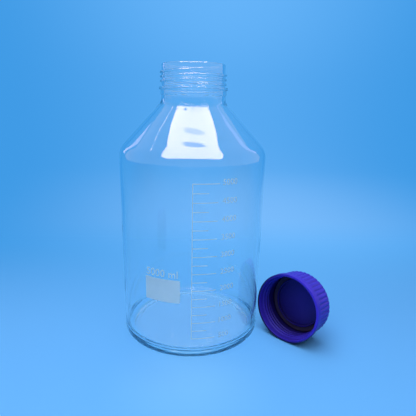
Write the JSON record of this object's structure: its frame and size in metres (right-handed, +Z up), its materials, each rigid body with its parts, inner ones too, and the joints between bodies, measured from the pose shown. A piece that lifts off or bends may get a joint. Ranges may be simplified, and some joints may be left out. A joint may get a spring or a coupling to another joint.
{
  "type": "laboratory media bottle",
  "caption": "Round wide-neck clear glass laboratory bottle with a cone shoulder and graduated wall, its ribbed screw cap taken off and lying beside it.",
  "frame": {"origin": "centre of the ring that the bottle stands on, on the bench", "axes": "+Z up the bottle's axis and out of its mouth, -Y towards the printed scale"},
  "size_m": [0.2689, 0.1821, 0.341],
  "materials": {
    "clear_glass": "clear, fire polished",
    "cap_plastic": "satin violet-blue moulded polypropylene",
    "seal_rubber": "smooth dark olive",
    "white_enamel": "fired white enamel print"
  },
  "bodies": {
    "root": {"glass_bottle": "clear_glass", "screw_cap": "cap_plastic", "sealing_ring": "seal_rubber", "writing_field": "white_enamel", "graduation_scale": "white_enamel"}
  },
  "joints": []
}
